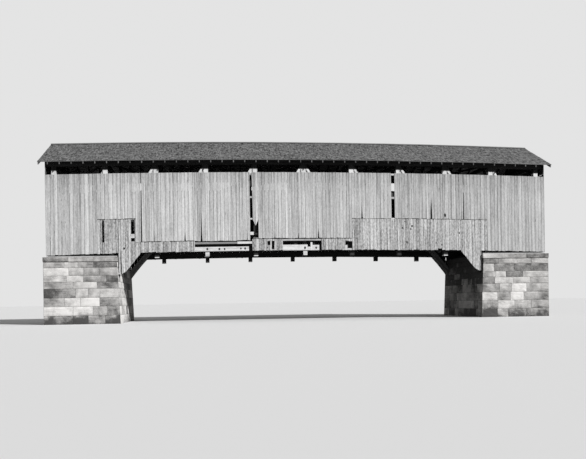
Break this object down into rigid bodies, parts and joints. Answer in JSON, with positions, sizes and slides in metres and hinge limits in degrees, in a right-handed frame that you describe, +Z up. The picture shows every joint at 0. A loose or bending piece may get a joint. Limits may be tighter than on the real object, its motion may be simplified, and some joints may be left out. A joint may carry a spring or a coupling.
{
  "type": "covered timber bridge",
  "caption": "Covered timber bridge: arched kingpost trusses, boarded walls with gaps and missing boards, open strip under a shingled gable roof, on cut-stone abutments.",
  "frame": {"origin": "midspan between the two trusses, level with the foot of the abutments", "axes": "+X along the bridge, to the right in the picture; +Y across it, away from the side in the picture; +Z up"},
  "size_m": [28.5, 7.2, 10.5843],
  "materials": {
    "siding_board": "weathered grey, unpainted, rough sawn",
    "truss_timber": "aged sawn timber",
    "roof_shingle": "dark weathered wood shingles",
    "deck_plank": "worn planks",
    "cut_stone": "coursed rough-faced blocks"
  },
  "bodies": {
    "root": {"back_arch_rib_inner": "truss_timber", "back_arch_rib_outer": "truss_timber", "back_bottom_chord": "truss_timber", "back_braces": "truss_timber", "back_knee_braces": "truss_timber", "back_left_apron": "siding_board", "back_nailer_blocks": "truss_timber", "back_nailers": "truss_timber", "back_posts": "truss_timber", "back_rafters": "truss_timber", "back_right_apron": "siding_board", "back_roof": "roof_shingle", "back_siding_left": "siding_board", "back_siding_middle": "siding_board", "back_siding_right": "siding_board", "back_top_plate": "truss_timber", "floor_beams": "truss_timber", "floor_deck": "deck_plank", "floor_stringers": "truss_timber", "front_arch_rib_inner": "truss_timber", "front_arch_rib_outer": "truss_timber", "front_bottom_chord": "truss_timber", "front_braces": "truss_timber", "front_knee_braces": "truss_timber", "front_left_apron": "siding_board", "front_lower_boards": "siding_board", "front_nailer_blocks": "truss_timber", "front_nailers": "truss_timber", "front_posts": "truss_timber", "front_rafters": "truss_timber", "front_right_apron": "siding_board", "front_right_skirt": "siding_board", "front_roof": "roof_shingle", "front_siding_left": "siding_board", "front_siding_middle": "siding_board", "front_siding_right": "siding_board", "front_top_plate": "truss_timber", "left_abutment": "cut_stone", "left_bed_timbers": "truss_timber", "left_bridge_seat": "cut_stone", "left_gable": "siding_board", "left_portal_boards": "siding_board", "left_sleepers": "truss_timber", "ridge_cap": "roof_shingle", "right_abutment": "cut_stone", "right_bed_timbers": "truss_timber", "right_bridge_seat": "cut_stone", "right_gable": "siding_board", "right_portal_boards": "siding_board", "right_sleepers": "truss_timber", "tie_beams": "truss_timber", "upper_laterals": "truss_timber"}
  },
  "joints": []
}
